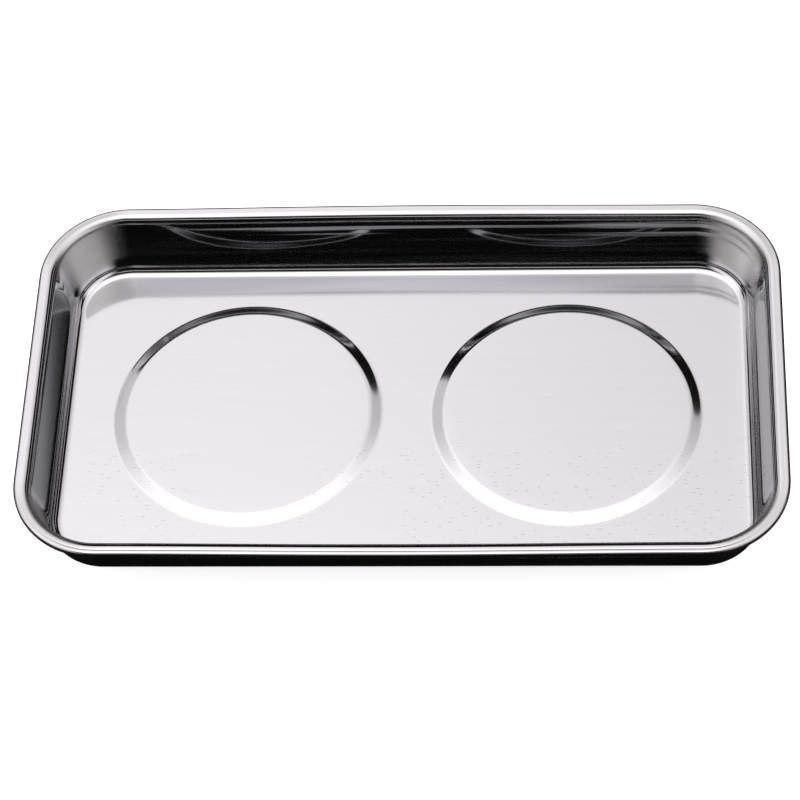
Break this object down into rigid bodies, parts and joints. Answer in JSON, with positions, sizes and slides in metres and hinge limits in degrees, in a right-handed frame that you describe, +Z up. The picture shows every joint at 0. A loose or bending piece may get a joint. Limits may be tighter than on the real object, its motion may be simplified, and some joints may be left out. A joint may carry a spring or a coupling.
{
  "type": "magnetic parts tray",
  "caption": "Shallow rectangular stainless tray with rounded corners, a rolled rim and round raised seats, held to steel surfaces by magnets in rubber boots under the seats.",
  "frame": {"origin": "centre of the tray in plan, on the surface that its rubber boots stand on", "axes": "+X along the length, +Y across the width towards the back, +Z up out of the open tray"},
  "size_m": [0.2412, 0.138, 0.032],
  "materials": {
    "pan_steel": "bright drawn stainless, fine lengthwise grain on the floor, satin in the drawn corners",
    "boot_rubber": "matt black moulded rubber",
    "magnet_ferrite": "ground dark grey ferrite",
    "plate_zinc": "satin zinc plate",
    "bond_foam": "matt off-white foam tape"
  },
  "bodies": {
    "root": {"tray_pan": "pan_steel", "rubber_boot_left": "boot_rubber", "rubber_boot_right": "boot_rubber", "ring_magnet_left": "magnet_ferrite", "ring_magnet_right": "magnet_ferrite", "backing_plate_left": "plate_zinc", "backing_plate_right": "plate_zinc", "adhesive_disc_left": "bond_foam", "adhesive_disc_right": "bond_foam"}
  },
  "joints": []
}
